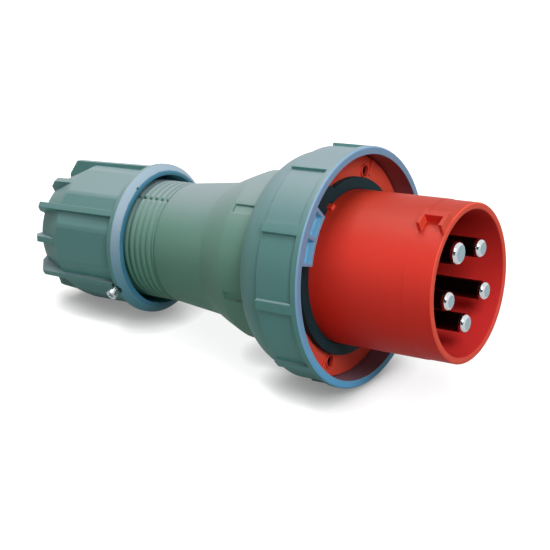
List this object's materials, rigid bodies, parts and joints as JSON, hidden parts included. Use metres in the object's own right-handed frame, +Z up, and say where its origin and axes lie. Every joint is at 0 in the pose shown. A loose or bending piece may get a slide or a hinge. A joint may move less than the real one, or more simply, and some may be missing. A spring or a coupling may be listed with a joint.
{
  "type": "industrial pin and sleeve plug",
  "caption": "Industrial pin and sleeve plug with a shrouded group of round contacts, a bayonet locking ring, a tapered housing and a ribbed cable gland nut.",
  "frame": {"origin": "centre of the sleeve's mouth plane, on the plug's axis", "axes": "+X out of the sleeve along the plug's axis, +Z up as the plug lies, +Y to its left seen from the cable end"},
  "size_m": [0.275, 0.1304, 0.1304],
  "materials": {
    "grey_moulding": "satin grey-green polyamide",
    "red_moulding": "satin red polyamide",
    "carrier_moulding": "matt black insulating moulding",
    "seal_rubber": "soft matt rubber",
    "contact_metal": "turned brass, nickel plated",
    "screw_steel": "bright zinc plated steel",
    "black_steel": "blackened steel"
  },
  "bodies": {
    "plug_body": {"housing": "grey_moulding", "plug_sleeve": "red_moulding", "flange_screws": "black_steel", "front_gasket": "seal_rubber", "housing_seal": "seal_rubber", "contact_carrier": "carrier_moulding", "carrier_screws": "screw_steel", "earth_pin": "contact_metal", "line_pin_1": "contact_metal", "line_pin_2": "contact_metal", "line_pin_3": "contact_metal", "neutral_pin": "contact_metal", "earth_clamp_screw": "screw_steel", "line_clamp_screws": "screw_steel", "neutral_clamp_screw": "screw_steel", "cable_grommet": "seal_rubber"},
    "locking_ring": {"bayonet_ring": "grey_moulding"},
    "gland_follower": {"thrust_ring": "carrier_moulding", "clamp_cage": "carrier_moulding"},
    "nut": {"gland_nut": "grey_moulding", "lock_screw": "screw_steel"}
  },
  "joints": [
    {"name": "ring_turn", "type": "hinge", "parent": "plug_body", "child": "locking_ring", "pos_m": [-0.09, 0, 0], "axis": [1, 0, 0], "range_deg": [0, 45]},
    {"name": "gland_slide", "type": "slide", "parent": "plug_body", "child": "gland_follower", "axis": [1, 0, 0], "range_m": [-0.0085, 0.0085]},
    {"name": "nut_turn", "type": "hinge", "parent": "gland_follower", "child": "nut", "pos_m": [-0.24, 0, 0], "axis": [1, 0, 0], "range_deg": [-720, 720]}
  ],
  "couplings": [
    {"joint": "gland_slide", "follows": "nut_turn", "m_per_rad": 0.00066845}
  ]
}
